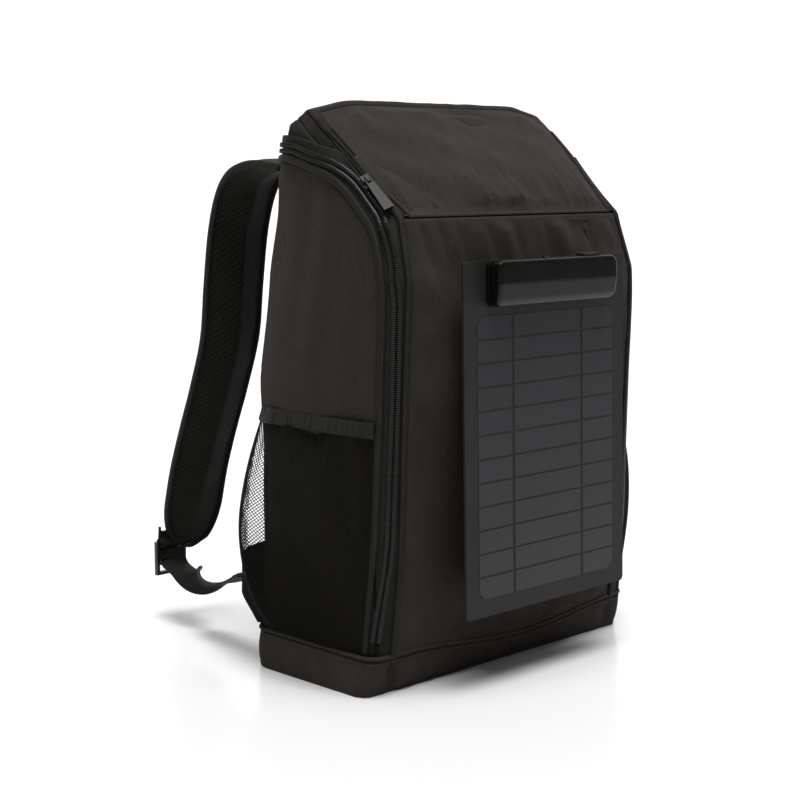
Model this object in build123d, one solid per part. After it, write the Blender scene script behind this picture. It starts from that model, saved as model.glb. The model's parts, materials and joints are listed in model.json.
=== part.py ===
from build123d import *
import os
from math import atan2, cos, degrees, hypot, radians, sin, sqrt

# Solar backpack: a box-shaped daypack with a clamshell front, a slanted zipped hood and a solar
# panel that is held on the front by hook and loop. Millimetres. The origin is the middle of the
# base on the ground, +Z is up, the front with the panel faces -Y and the straps are on +Y.

# ---------------------------------------------------------------- driving dimensions
half_width = 150.0          # side fabric, either side of the middle
base_half_width = 155.0     # the base band is wider and squarer than the bag above it
base_height = 30.0
ridge_height = 452.5
wall = 3.5                  # padded fabric of every panel
edge_radius = 28.0          # rounding of the front and hood edges
seam_gap = 0.3              # clear space between pieces that part from each other

# Front and back of the bag at each height: height, front Y, back Y, half width, front and rear
# corner radius.
base_sections = [
    (0, -76, 55, base_half_width, 10, 16),
    (base_height, -84, 58, base_half_width - 2, 12, 18),
]
bag_sections = [
    (base_height, -84, 58, half_width + 2, 14, 20),
    (112, -94, 62, half_width + 1, 24, 24),
    (230, -99.5, 66, half_width, edge_radius, 25),
    (318, -104, 53, half_width - 1, edge_radius, 25),
    (364, -95.5, 41, half_width - 2, edge_radius, 25),
    (470, -76, 32, half_width - 2, edge_radius, 25),
]

# Hood: a flat face that leans back from the hood seam to the ridge.
hood_seam = (-95.5, 363)
hood_slope = degrees(atan2(91, 100.5))
ridge_front_y = 8
ridge_rear = (21, 440)
rear_slope_foot = (38, 402)
hood_split_depth = 4.1      # the hood zip opens along a line this far under the slanted face

# Clamshell zip: side view of its centre line, from the base seam over the top to the back.
main_zip_points = [
    (-73, -20), (-89.5, 112), (-97, 320), (-86, 360), (-44, 399), (12, 415.5), (90, 412),
]
main_zip_radii = [400, 150, 40, 90, 60]
zip_tape_width = 10.0       # tape that shows on each side of the teeth
zip_inner_edge = 130.0      # the tape's inner edge on the front, from the middle
hood_fabric_edge = 124.0    # the flap's fabric ends here and its zip tape begins
hood_gusset_tape = 7.0      # tape that shows under the hood zip's teeth
gusset_inner_edge = 120.0
coil_width = 2.4
coil_height = 1.5
slider_lift = 1.8           # underside of a slider over the bag's surface
pull_pivot_height = 4.8
hood_slider_along = 42.0    # up from the hood seam
main_slider_x = 16.0
rear_zip_z = 414.6

# Top pocket: a lining pouch that hangs from the hood inside the bag.
pouch_half = 128.0
pouch_back = 6.0
pouch_floor = 332.0
lining_thickness = 1.2
flange_half = 140.0         # the edge sewn to the zip stops short of the sides

# Solar panel, leaning back with the front of the bag.
panel_width = 190.0
panel_height = 272.0
panel_thickness = 2.0
panel_centre = (0, -124, 195)
panel_lean = 1.3
panel_corner = 4.0
cell_field_width = 164.0
cell_field_bottom = 13.0    # border under the cells
cell_field_top = 41.0       # border over the cells, behind the control box
cell_rows = 12
cell_column_shares = [0.25, 0.5, 0.25]
cell_gap = 1.6
column_gap = 2.8
cell_thickness = 0.3
cell_chamfer = 8.0
patch_thickness = 1.5       # one half of the hook and loop
patch_heights = (-92, 0, 72)

# Control box on the panel's top edge.
box_width = 140.0
box_height = 35.0
box_depth = 14.0
box_wall = 1.6
box_split = 3.2             # depth of the back shell
port_u = 42.0               # socket under the rubber cover, from the middle of the box
led_u = -12.0

# Side pockets.
pocket_top = 212.0
pocket_bulge = 17.0
pocket_mouth = 12.0         # gap between the side of the bag and the pocket's top edge
binding_height = 10.0
mesh_thickness = 1.2

# Shoulder straps.
strap_centre_x = 91.0
strap_width = 62.0
strap_thickness = 10.0
strap_points = [
    (58, 400), (84, 403), (104, 401), (122, 393), (135, 376), (145, 345), (152, 300),
    (158, 255), (174, 210), (190, 172), (204, 135), (213, 102), (219.5, 79),
]
webbing_width = 25.0
webbing_thickness = 1.8
strap_foot = (-112, 221)        # plan position of the buckle under the left strap
anchor_foot = (-146, 66)        # plan position of the left strap's sewn lower end
webbing_points = [(16, 48), (44, 43), (70, 42), (100, 46), (130, 57), (148, 67)]
anchor_points = [(153, 70), (160, 73), (180, 79)]
root_points = [(38, 387), (43, 393), (47, 396.5)]
tongue_points = [(40, 390), (45, 395), (52, 398.5)]
tongue_width = 30.0
buckle_pivot_z = 68.0

# Grab handle.
handle_half_span = 42.0
handle_drop = 36.0
handle_pivot = (53, 394)

far = 400.0


# ---------------------------------------------------------------- helpers
def side_region(points):
    """Closed face from side-view points (Y, Z), as a sketch to be placed on the YZ plane."""
    return make_face(Polyline(*points, close=True))


def across(face, x_from, x_to):
    """The side-view face as a solid that runs across the bag."""
    return extrude(Plane.YZ.offset(x_from) * face, amount=x_to - x_from)


def block(x_range, y_range, z_range):
    """Axis-aligned block between two corners."""
    size = [high - low for low, high in (x_range, y_range, z_range)]
    solid = Box(*size, align=(Align.MIN, Align.MIN, Align.MIN))
    return Pos(x_range[0], y_range[0], z_range[0]) * solid


def ribbon_face(points, thickness):
    """Side-view strip of even thickness along a smooth line through the points."""
    middle = Spline(*points)
    edge_count = 4 * len(points)
    over = []
    under = []
    for step in range(edge_count + 1):
        at = step / edge_count
        place = middle @ at
        way = middle % at
        shift = Vector(-way.Y, way.X, 0) * (thickness / 2)
        over.append(place + shift)
        under.append(place - shift)
    first = Spline(*over)
    second = Spline(*under)
    ends = [Line(over[0], under[0]), Line(over[-1], under[-1])]
    return make_face([first, second] + ends)


def mirrored(shape):
    """The right-hand twin of a left-hand piece."""
    return mirror(shape, about=Plane.YZ)


def section_wire(section, inset):
    """Plan view of the bag at one height: a rectangle with rounded corners."""
    height, front, back, half, front_radius, rear_radius = section
    left, right = -half + inset, half - inset
    front, back = front + inset, back - inset
    corners = [(left, front), (right, front), (right, back), (left, back)]
    radii = [front_radius - inset] * 2 + [rear_radius - inset] * 2
    outline = FilletPolyline(*corners, radius=radii, close=True)
    return Pos(0, 0, height) * make_face(outline)


def lofted(sections, inset):
    return loft([section_wire(section, inset) for section in sections], ruled=True)


def hood_block(depth_limit):
    """Everything under the plane that lies depth_limit under the slanted hood face."""
    solid = Box(2 * far, 3 * far, far, align=(Align.CENTER, Align.CENTER, Align.MAX))
    solid = Pos(0, 0, -depth_limit) * solid
    return Pos(0, *hood_seam) * Rot(hood_slope, 0, 0) * solid


def bag_volume(inset):
    """Filled outer shape above the base, with every face moved inwards by inset."""
    body = lofted(bag_sections, inset)
    half = half_width - 1 - inset
    cap = Box(2 * half, 3 * far, far, align=(Align.CENTER, Align.CENTER, Align.MAX))
    top_edges = cap.edges().filter_by(Axis.Y).group_by(Axis.Z)[-1]
    cap = Pos(0, 0, -inset) * fillet(top_edges, edge_radius - inset)
    body = body & (Pos(0, *hood_seam) * Rot(hood_slope, 0, 0) * cap)
    run = hypot(rear_slope_foot[0] - ridge_rear[0], rear_slope_foot[1] - ridge_rear[1])
    reach = far / run
    rear_end = (
        ridge_rear[0] + (rear_slope_foot[0] - ridge_rear[0]) * reach,
        ridge_rear[1] + (rear_slope_foot[1] - ridge_rear[1]) * reach,
    )
    top = [
        (-far, -far), (-far, ridge_height), (ridge_front_y, ridge_height), ridge_rear,
        rear_end, (rear_end[0], -far),
    ]
    top_face = offset(side_region(top), amount=-inset, kind=Kind.INTERSECTION)
    return body & across(top_face, -far, far)


def base_volume(inset):
    return lofted(base_sections, inset)


# ---------------------------------------------------------------- regions that cut the bag
def zip_front_side(distance):
    """Everything further than distance in front of and above the clamshell zip's centre line."""
    corners = [(90, 2 * far), (-2 * far, 2 * far), (-2 * far, -20)]
    line = FilletPolyline(*main_zip_points, radius=main_zip_radii)
    ends = Polyline(line @ 1, *corners, line @ 0)
    region = make_face([line] + list(ends.edges()))
    if distance:
        region = offset(region, amount=-distance, kind=Kind.INTERSECTION)
    return across(region, -far, far)


def main_zip_band(low, high):
    """Solid across the bag between two distances from the clamshell zip's centre line, measured
    towards the front and the top."""
    return zip_front_side(low) - zip_front_side(high)


def corner_region(inner_edge):
    """Both sides of the bag beyond this distance from the middle, and all of its rear."""
    region = block((-far, -inner_edge), (-far, far), (-far, 2 * far))
    region += block((inner_edge, far), (-far, far), (-far, 2 * far))
    return region + block((-far, far), (0, far), (-far, 2 * far))


front_side = zip_front_side(0)
zip_gap = main_zip_band(-seam_gap / 2, seam_gap / 2)
zip_band = main_zip_band(-zip_tape_width, zip_tape_width)
corner_zone = corner_region(zip_inner_edge)
over_seam = block((-far, far), (-far, far), (hood_seam[1] + seam_gap / 2, 2 * far))
under_seam = block((-far, far), (-far, far), (-far, hood_seam[1] - seam_gap / 2))

outer = bag_volume(0)
inner = bag_volume(wall)
skin = outer - inner - block((-far, far), (-far, far), (-far, base_height))
front_skin = (skin & front_side) - zip_gap
body_skin = skin - front_side - zip_gap
hood_slab = over_seam - hood_block(hood_split_depth - seam_gap / 2)
under_hood = hood_block(hood_split_depth + seam_gap / 2)


# ---------------------------------------------------------------- base, sides and back
def make_base():
    """Base band, base panel and the board that stiffens it."""
    ring = base_volume(0) - base_volume(wall)
    floor = base_volume(wall) & block((-far, far), (-far, far), (0, wall))
    board = base_volume(wall + 2) & block((-far, far), (-far, far), (wall, wall + 3))
    return {"base_band": ring, "base_panel": floor, "base_board": board}


def make_side_and_back():
    """Side panels and the back panel behind the clamshell zip, with the sheet that keeps the
    back flat and the air-mesh pads that rest against the wearer."""
    rest = body_skin - (zip_band & corner_zone)
    rear_corner = half_width - 24
    left = rest & block((-far, -rear_corner), (-far, far), (-far, 2 * far))
    back = rest & block((-rear_corner, rear_corner), (0, far), (-far, 2 * far))
    sheet = inner - bag_volume(wall + 1.5)
    sheet &= block((-115, 115), (0, far), (base_height + 5, 380))
    padding = bag_volume(-8) - outer
    left_pad = padding & block((-112, -16), (0, far), (122, 345))
    lumbar = padding & block((-108, 108), (0, far), (56, 112))
    return {
        "left_side_panel": left,
        "right_side_panel": mirrored(left),
        "back_panel": back,
        "back_sheet": sheet,
        "left_back_pad": left_pad,
        "right_back_pad": mirrored(left_pad),
        "lumbar_pad": lumbar,
    }


def make_laptop_sleeve():
    """Padded sleeve that stands against the inside of the back panel, open at the top."""
    half, front, top = 128, 26, 300
    pouch = inner & block((-half, half), (front, far), (base_height + 3, top))
    room = block((3 - half, half - 3), (front + 4, far), (base_height + 6, far))
    binding = block((-half, half), (front - 1.5, front), (top - 12, top))
    sheet = inner - bag_volume(wall + 1.5)
    return {"laptop_sleeve": pouch - room - sheet, "sleeve_binding": binding}


# ---------------------------------------------------------------- zips, front and hood
def make_main_zip():
    """Clamshell zip: a tape and a row of teeth on each side."""
    raised = bag_volume(-coil_height) - outer
    raised -= block((-far, far), (-far, far), (-far, base_height))
    half_gap = seam_gap / 2
    front_row = raised & main_zip_band(half_gap, coil_width) & corner_zone
    body_row = raised & main_zip_band(-coil_width, -half_gap) & corner_zone
    return {
        "main_zip_front_tape": front_skin & zip_band & corner_zone,
        "main_zip_body_tape": body_skin & zip_band & corner_zone,
        "main_zip_front_coil": front_row,
        "main_zip_body_coil": body_row,
    }


def make_front_and_hood():
    """Front panel, the hood flap that opens on its own zip, the gussets that carry the other
    side of that zip, and the lining that is the floor of the top pocket."""
    reach = zip_tape_width + seam_gap
    wider_zone = corner_region(zip_inner_edge - seam_gap)
    clear = front_skin - (main_zip_band(-reach, reach) & wider_zone)
    off_band = front_skin - (zip_band & corner_zone)
    front = off_band & under_seam
    flap_all = clear & hood_slab
    edges = block((-far, -hood_fabric_edge), (-far, far), (-far, 2 * far))
    edges += mirrored(edges)
    edges += block((-far, far), (0, far), (-far, 2 * far))
    above = off_band & under_hood & over_seam
    strip = under_hood - hood_block(hood_split_depth + hood_gusset_tape)
    gusset = above - strip
    left = gusset & block((-far, -gusset_inner_edge), (-far, far), (-far, 2 * far))
    rear = gusset & block((-gusset_inner_edge, gusset_inner_edge), (0, far), (-far, 2 * far))
    inside_row = (inner - bag_volume(wall + coil_height)) & over_seam
    gusset_row = inside_row & (under_hood - hood_block(hood_split_depth + coil_width))
    gusset_row = gusset_row & zip_front_side(4) & edges
    pouch = block((-pouch_half, pouch_half), (-far, pouch_back), (pouch_floor, 2 * far))
    room = block(
        (lining_thickness - pouch_half, pouch_half - lining_thickness),
        (-far, pouch_back - lining_thickness), (pouch_floor + lining_thickness, 2 * far),
    )
    flange = main_zip_band(1.5, 1.5 + lining_thickness)
    flange &= block((-flange_half, flange_half), (-80, far), (366, 2 * far))
    lining = ((pouch - zip_front_side(1.5) + flange) & inner) - room - gusset_row
    return {
        "front_panel": front,
        "hood_flap": flap_all - edges,
        "hood_zip_flap_tape": flap_all & edges,
        "hood_zip_gusset_tape": above & strip,
        "hood_zip_coil": gusset_row,
        "left_hood_gusset": left,
        "right_hood_gusset": mirrored(left),
        "hood_rear_panel": rear,
        "top_pocket_lining": lining,
    }


left_middle = (Align.MIN, Align.CENTER, Align.CENTER)
on_base = (Align.CENTER, Align.CENTER, Align.MIN)


def slider_plate():
    """Zip slider over the teeth: a waisted plate with a bridge. Local X runs along the zip and
    local Z points out of the bag."""
    outline = make_face(Polyline(
        (-6, -3.4), (2, -3.4), (6, -4.6), (6, 4.6), (2, 3.4), (-6, 3.4), close=True,
    ))
    plate_solid = Pos(0, 0, slider_lift) * extrude(outline, amount=1.6)
    bridge = Pos(-0.5, 0, slider_lift + 1.6) * Box(6, 1.8, 2.6, align=on_base)
    bridge -= Pos(-0.5, 0, pull_pivot_height) * Rot(90, 0, 0) * Cylinder(0.8, 4)
    return plate_solid + bridge


def slider_pull():
    """Pull tab that hangs on the slider's bridge by a thin ring."""
    ring = Pos(-0.5, 0, pull_pivot_height) * Rot(90, 0, 0) * Cylinder(0.7, 5)
    arm = Pos(-1.2, 2.2, pull_pivot_height) * Box(5.2, 0.9, 1.4, align=left_middle)
    arms = arm + mirror(arm, about=Plane.XZ)
    grip = make_face(Polyline((3.9, -2.8), (31, -4.2), (31, 4.2), (3.9, 2.8), close=True))
    grip = Pos(0, 0, pull_pivot_height - 0.9) * extrude(grip, amount=1.8)
    return ring + arms + grip


def hood_zip_place(along):
    """Place on the left hood zip, this far up from the hood seam: X down the zip, Z outwards."""
    turn = sqrt(edge_radius ** 2 - (edge_radius - hood_split_depth) ** 2) / edge_radius
    slope = radians(hood_slope)
    up = Vector(0, cos(slope), sin(slope))
    out = Vector(0, -sin(slope), cos(slope))
    spot = Vector(edge_radius - half_width + 1 - edge_radius * turn, *hood_seam)
    spot = spot + up * along - out * hood_split_depth
    normal = out * sqrt(1 - turn ** 2) + Vector(-turn, 0, 0)
    return Plane(origin=spot, x_dir=up * -1, z_dir=normal).location


def rear_zip_place(x):
    """Place on the clamshell zip where it crosses the back: X towards the left side."""
    slope_run = rear_slope_foot[0] - ridge_rear[0]
    slope_drop = ridge_rear[1] - rear_slope_foot[1]
    y = ridge_rear[0] + (ridge_rear[1] - rear_zip_z) * slope_run / slope_drop
    normal = (0, slope_drop, slope_run)
    return Plane(origin=(x, y, rear_zip_z), x_dir=(-1, 0, 0), z_dir=normal).location


def make_sliders():
    """One slider and pull on the hood zip and two on the clamshell zip."""
    hood_place = hood_zip_place(hood_slider_along)
    left_place = rear_zip_place(-main_slider_x)
    left = left_place * slider_plate()
    left_pull = left_place * slider_pull()
    return {
        "hood_slider": hood_place * slider_plate(),
        "hood_pull": hood_place * slider_pull(),
        "left_main_slider": left,
        "left_main_pull": left_pull,
        "right_main_slider": mirrored(left),
        "right_main_pull": mirrored(left_pull),
    }


# ---------------------------------------------------------------- solar panel
def panel_place():
    """Place on the middle of the panel's front face: X across, Y up the panel, Z outwards."""
    lean = radians(panel_lean)
    outwards = (0, -cos(lean), sin(lean))
    return Plane(origin=panel_centre, x_dir=(1, 0, 0), z_dir=outwards).location


def plate(width, height, low, high, centre=(0, 0), corner=0.0):
    """Plate parallel to the panel, between two distances from its front face."""
    shape = RectangleRounded(width, height, corner) if corner else Rectangle(width, height)
    return Pos(centre[0], centre[1], low) * extrude(shape, amount=high - low)


def make_solar_cells():
    """Cells in three columns, the four outer corners of the field cut off."""
    bottom = cell_field_bottom - panel_height / 2
    height = panel_height - cell_field_bottom - cell_field_top
    row = height / cell_rows
    field = chamfer(Rectangle(cell_field_width, height).vertices(), cell_chamfer)
    field = Pos(0, bottom + height / 2, 0) * extrude(field, amount=cell_thickness)
    solids = []
    left = -cell_field_width / 2
    for share in cell_column_shares:
        width = cell_field_width * share
        for index in range(cell_rows):
            centre = (left + width / 2, bottom + row * (index + 0.5))
            cell = plate(width - column_gap, row - cell_gap, 0, cell_thickness, centre) & field
            solids += cell.solids()
        left += width
    return Compound(solids)


def box_form(inset, low):
    """Control box as a filled form: flat top, crowned front and a bevel at the bottom."""
    top = panel_height / 2 - inset
    foot = panel_height / 2 - box_height + inset
    depth = box_depth - inset
    profile = make_face(Polyline(
        (top, low), (top, depth - 1.5), (top - 1.5, depth), (foot + 17, depth + 0.8),
        (foot + 5, depth - 1.5), (foot, depth - 5), (foot, low), close=True,
    ))
    width = box_width - 2 * inset
    form = extrude(Plane.YZ.offset(-width / 2) * profile, amount=width)
    ends = plate(width, top - foot, -1, far, (0, (top + foot) / 2), 6 - inset)
    return form & ends


def make_control_box():
    """Box on the panel's top edge: back shell, front cover, circuit board, socket under its
    rubber cover, light and the screws that come through the panel from behind."""
    top = panel_height / 2
    whole = box_form(0, 0)
    hollow = whole - box_form(box_wall, box_wall)
    shell = hollow & plate(far, far, 0, box_split, (0, top))
    cover = hollow & plate(far, far, box_split, far, (0, top))
    port_depth = box_split + 3.5
    cover -= Pos(port_u, top, port_depth) * Box(14.4, 8, 7.2)
    lens_place = Pos(led_u, top, 8.5) * Rot(90, 0, 0)
    cover -= lens_place * Cylinder(2.2, 8)
    lens = Pos(0, 0.7, 0) * (lens_place * Cylinder(2.2, 3))
    board = plate(112, 24, box_wall, box_split, (0, top - box_height / 2))
    socket = Pos(port_u, top - 8.2, port_depth) * Box(14, 14, 7)
    socket -= Pos(port_u, top - 6, port_depth) * Box(12.6, 12, 5.2)
    rubber = Pos(port_u, top + 1.3, port_depth) * Box(20, 2, 8.6)
    holes = []
    screws = []
    for u in (-63, 63):
        for v in (top - box_height + 6, top - 6):
            boss = Pos(u, v, box_split) * Cylinder(2.8, 11, align=on_base)
            pillar = Pos(u, v, box_wall) * Cylinder(2.8, box_split - box_wall, align=on_base)
            cover += boss & whole
            shell += pillar
            holes.append(Pos(u, v, -5) * Cylinder(1.25, 13, align=on_base))
            shaft = Pos(u, v, -panel_thickness) * Cylinder(1.2, 9, align=on_base)
            head = Pos(u, v, -panel_thickness - 1.2) * Cylinder(2.4, 1.2, align=on_base)
            screws += (shaft + head).solids()
    for hole in holes:
        cover -= hole
        shell -= hole
    pieces = {
        "box_back_shell": shell,
        "box_front_cover": cover,
        "box_circuit_board": board,
        "usb_socket": socket,
        "led_lens": lens,
        "box_screws": Compound(screws),
        "usb_cover": rubber,
    }
    return pieces, holes


def make_panel():
    """Laminated panel with its cells and control box, and the hook and loop patches that hold
    it to the padded mount on the bag's front."""
    pieces, holes = make_control_box()
    laminate = plate(panel_width, panel_height, -panel_thickness, 0, corner=panel_corner)
    for hole in holes:
        laminate -= hole
    hook_back = -panel_thickness - patch_thickness
    loop_back = hook_back - patch_thickness
    hooks = []
    loops = []
    for v in patch_heights:
        hooks += plate(150, 38, hook_back, -panel_thickness, (0, v), 4).solids()
        loops += plate(150, 38, loop_back, hook_back - 0.1, (0, v), 4).solids()
    pieces["panel_laminate"] = laminate
    pieces["solar_cells"] = make_solar_cells()
    pieces["hook_patches"] = Compound(hooks)
    pieces["loop_patches"] = Compound(loops)
    pad = plate(158, 214, -60, loop_back, (0, -8), 12)
    pieces["panel_mount_pad"] = pad
    placed = {name: panel_place() * piece for name, piece in pieces.items()}
    placed["panel_mount_pad"] -= outer
    placed["panel_mount_pad"] &= block((-far, far), (-far, 0), (0, far))
    return placed


# ---------------------------------------------------------------- side pockets
def pocket_volume(inset):
    """Filled bulge of the left pocket, outside the side panel and round the rear corner."""
    side = -half_width - pocket_bulge + inset
    low = base_height + 0.2 + inset
    plan = FilletPolyline(
        (-half_width + 9, -75 + inset), (-half_width - 3, -75 + inset), (side, -25 + inset),
        (side, 46 - inset), (-half_width - 2, 67 - inset), (-half_width + 9, 67 - inset),
        radius=[2, 10, 50, 12, 8, 2], close=True,
    )
    bulge = Pos(0, 0, low) * extrude(make_face(plan), amount=pocket_top - low)
    edge = -half_width - 6 + inset
    mouth = -half_width - pocket_mouth + inset
    front_view = Polyline(
        (far, low), (edge, low), (side + 3, 80), (side, 120), (side, 165),
        (mouth, pocket_top), (mouth, far), (far, far), close=True,
    )
    taper = Plane.XZ.offset(-far) * make_face(front_view)
    return bulge & extrude(taper, amount=2 * far)


def make_pockets():
    """Mesh pockets with an elastic binding along the top."""
    net = pocket_volume(0) - pocket_volume(mesh_thickness) - outer - base_volume(0)
    band = block((-far, far), (-far, far), (pocket_top - binding_height, pocket_top + 1))
    binding = net & band
    net = net - band
    return {
        "left_mesh_pocket": net,
        "right_mesh_pocket": mirrored(net),
        "left_pocket_binding": binding,
        "right_pocket_binding": mirrored(binding),
    }


# ---------------------------------------------------------------- straps and handle
def strap_place():
    """Side-on place through the buckle and the sewn lower end of the left strap: X runs from
    the buckle to the bag and Y is up."""
    run = Vector(anchor_foot[0] - strap_foot[0], anchor_foot[1] - strap_foot[1], 0).normalized()
    side = run.cross(Vector(0, 0, 1))
    return Plane(origin=(strap_foot[0], strap_foot[1], 0), x_dir=run, z_dir=side).location


def webbing_strip(points, width):
    strip = extrude(ribbon_face(points, webbing_thickness), amount=width / 2, both=True)
    return strap_place() * strip


def make_buckle():
    """Ladder-lock buckle: a frame with a round top bar and two gripping bars."""
    frame = Pos(0, 0, 2) * Box(32, 4, 30, align=(Align.CENTER, Align.CENTER, Align.MAX))
    for low, high in ((-8, 6), (-16, -11), (-25, -19)):
        frame -= Pos(0, 0, (low + high) / 2) * Box(26, 9, high - low)
    frame += Rot(0, 90, 0) * Cylinder(2, 28)
    lip = Pos(0, -3.4, -13.5) * Box(26, 3, 2.4)
    return frame + lip + Pos(0, -2, -9.5) * Box(26, 2, 3)


def make_straps():
    """Left shoulder strap with its webbing, buckle and sewn anchors, and the same on the right.
    The yoke on the back carries both straps and the grab handle."""
    outside = -strap_centre_x - strap_width / 2
    inside = outside + strap_width
    pad = across(ribbon_face(strap_points, strap_thickness), outside, inside)
    buckle_place = Pos(strap_foot[0], strap_foot[1], buckle_pivot_z)
    loop = Rot(0, 90, 0) * (Cylinder(4.4, webbing_width) - Cylinder(2.5, 60))
    loop += Pos(0, 0, 3.6) * Box(webbing_width, 2, 12, align=on_base)
    tail = webbing_strip(webbing_points, webbing_width)
    anchor = webbing_strip(anchor_points, webbing_width + 6) - outer - pocket_volume(0)
    yoke = (bag_volume(-3) - outer) & block((-128, 128), (0, far), (384, 398.5))
    root = across(ribbon_face(root_points, 8), outside, inside)
    tongue_side = -strap_centre_x - tongue_width / 2
    root += across(ribbon_face(tongue_points, 8), tongue_side, tongue_side + tongue_width)
    root -= outer
    lug = block(
        (-handle_half_span - 6, -handle_half_span + 6), (30, handle_pivot[0] - 5.6), (388, 397)
    )
    lug -= outer
    yoke += root
    yoke += mirrored(root)
    yoke += lug
    yoke += mirrored(lug)
    pieces = {
        "strap_pad": pad,
        "buckle_loop": buckle_place * loop - pad,
        "strap_webbing": tail,
        "buckle": buckle_place * make_buckle(),
        "lower_anchor": anchor,
    }
    placed = {"left_" + name: piece for name, piece in pieces.items()}
    placed.update({"right_" + name: mirrored(piece) for name, piece in pieces.items()})
    placed["strap_yoke"] = yoke
    return placed


def make_handle():
    """Rolled grab handle that hangs from the yoke."""
    pivot_y, pivot_z = handle_pivot
    low = pivot_z - handle_drop
    span = handle_half_span
    points = [(-span, pivot_z), (5 - span, low), (span - 5, low), (span, pivot_z)]
    route = Plane.XZ.offset(-pivot_y) * FilletPolyline(*points, radius=14)
    section = Plane(origin=route @ 0, z_dir=route % 0) * Circle(5)
    return {"grab_handle": sweep(section, path=route)}


nodes = {}
for make in (
    make_base, make_side_and_back, make_laptop_sleeve, make_main_zip, make_front_and_hood,
    make_sliders, make_panel, make_pockets, make_straps, make_handle,
):
    nodes.update(make())

os.makedirs("parts", exist_ok=True)
for name, shape in nodes.items():
    export_step(shape, f"parts/{name}.step")
    print(name, len(shape.solids()), round(shape.volume / 1000, 1))
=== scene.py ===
import bmesh
import bpy
import json
import math
import numpy as np
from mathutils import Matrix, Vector
from mathutils.bvhtree import BVHTree


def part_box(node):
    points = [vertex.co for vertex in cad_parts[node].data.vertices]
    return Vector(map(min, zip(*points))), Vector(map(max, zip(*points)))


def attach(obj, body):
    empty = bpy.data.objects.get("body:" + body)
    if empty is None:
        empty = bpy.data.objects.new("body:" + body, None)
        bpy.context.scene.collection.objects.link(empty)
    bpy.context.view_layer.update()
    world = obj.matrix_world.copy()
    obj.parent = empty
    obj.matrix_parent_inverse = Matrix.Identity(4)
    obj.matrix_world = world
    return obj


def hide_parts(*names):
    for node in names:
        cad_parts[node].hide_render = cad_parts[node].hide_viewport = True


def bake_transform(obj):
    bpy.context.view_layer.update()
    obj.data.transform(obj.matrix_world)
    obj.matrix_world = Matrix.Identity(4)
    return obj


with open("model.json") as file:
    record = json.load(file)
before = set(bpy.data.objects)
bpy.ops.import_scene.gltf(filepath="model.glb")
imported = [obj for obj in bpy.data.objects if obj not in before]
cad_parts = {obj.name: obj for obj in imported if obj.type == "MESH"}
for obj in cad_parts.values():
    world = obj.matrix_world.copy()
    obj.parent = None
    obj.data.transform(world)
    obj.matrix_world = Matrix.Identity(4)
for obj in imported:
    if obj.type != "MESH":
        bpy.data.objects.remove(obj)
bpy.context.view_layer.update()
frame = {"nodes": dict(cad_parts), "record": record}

# Looks of the solar backpack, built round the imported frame. Metres, same frame as the CAD:
# +Z up, the front with the solar panel faces -Y and the shoulder straps are on +Y.

nodes = frame["nodes"]
scene = bpy.context.scene
mm = 0.001

# ---------------------------------------------------------------- driving values
hood_seam = Vector((0, -95.5, 363)) * mm
hood_slope = math.radians(42.16)
base_seam_z = 30 * mm
fabric_voxel = 2.0 * mm
stitch_pitch = 3.6 * mm
stitch_length = 2.5 * mm
sim_frames = 20

skin_nodes = [
    "base_band", "left_side_panel", "right_side_panel", "back_panel", "main_zip_front_tape",
    "main_zip_body_tape", "front_panel", "hood_flap", "hood_zip_flap_tape",
    "hood_zip_gusset_tape", "left_hood_gusset", "right_hood_gusset", "hood_rear_panel",
]


# ---------------------------------------------------------------- mesh helpers
def mesh_object(name, vertices, faces, smooth=True):
    mesh = bpy.data.meshes.new(name)
    mesh.from_pydata([tuple(v) for v in vertices], [], [tuple(f) for f in faces])
    mesh.validate()
    if smooth:
        mesh.shade_smooth()
    thing = bpy.data.objects.new(name, mesh)
    scene.collection.objects.link(thing)
    return thing


def points_of(mesh):
    flat = np.empty(len(mesh.vertices) * 3)
    mesh.vertices.foreach_get("co", flat)
    return flat.reshape(-1, 3)


def normals_of(mesh):
    flat = np.empty(len(mesh.vertices) * 3)
    mesh.vertices.foreach_get("normal", flat)
    return flat.reshape(-1, 3)


def set_points(mesh, points):
    mesh.vertices.foreach_set("co", np.ascontiguousarray(points).ravel())
    mesh.update()


def smoothstep(value, low, high):
    share = np.clip((value - low) / (high - low), 0, 1)
    return share * share * (3 - 2 * share)


def ripple(points, wavelength, seed, stretch=(1, 1, 1), waves=14):
    """Uneven waves between about -1 and 1. stretch scales how fast they change along each axis."""
    draw = np.random.default_rng(seed)
    total = np.zeros(len(points))
    for _ in range(waves):
        way = draw.normal(size=3) * np.array(stretch)
        way *= 2 * math.pi / wavelength * draw.uniform(0.6, 1.5) / math.sqrt(3)
        total += np.sin(points @ way + draw.uniform(0, 2 * math.pi))
    return total / math.sqrt(waves / 2) / 1.6


def lean(points):
    """The bag's right shoulder sinks in beside the lower end of the hood."""
    moved = np.array(points)
    x, y, z = moved.T
    pull = smoothstep(x, 50 * mm, 132 * mm) * np.exp(-((z - 372 * mm) / (48 * mm)) ** 2)
    moved[:, 0] -= 13 * mm * pull * (1 - smoothstep(y, -50 * mm, 10 * mm))
    return moved


def tree_of(names):
    vertices = []
    faces = []
    for name in names:
        mesh = nodes[name].data
        first = len(vertices)
        vertices += [v.co.copy() for v in mesh.vertices]
        faces += [[first + i for i in p.vertices] for p in mesh.polygons]
    return BVHTree.FromPolygons(vertices, faces)


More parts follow.
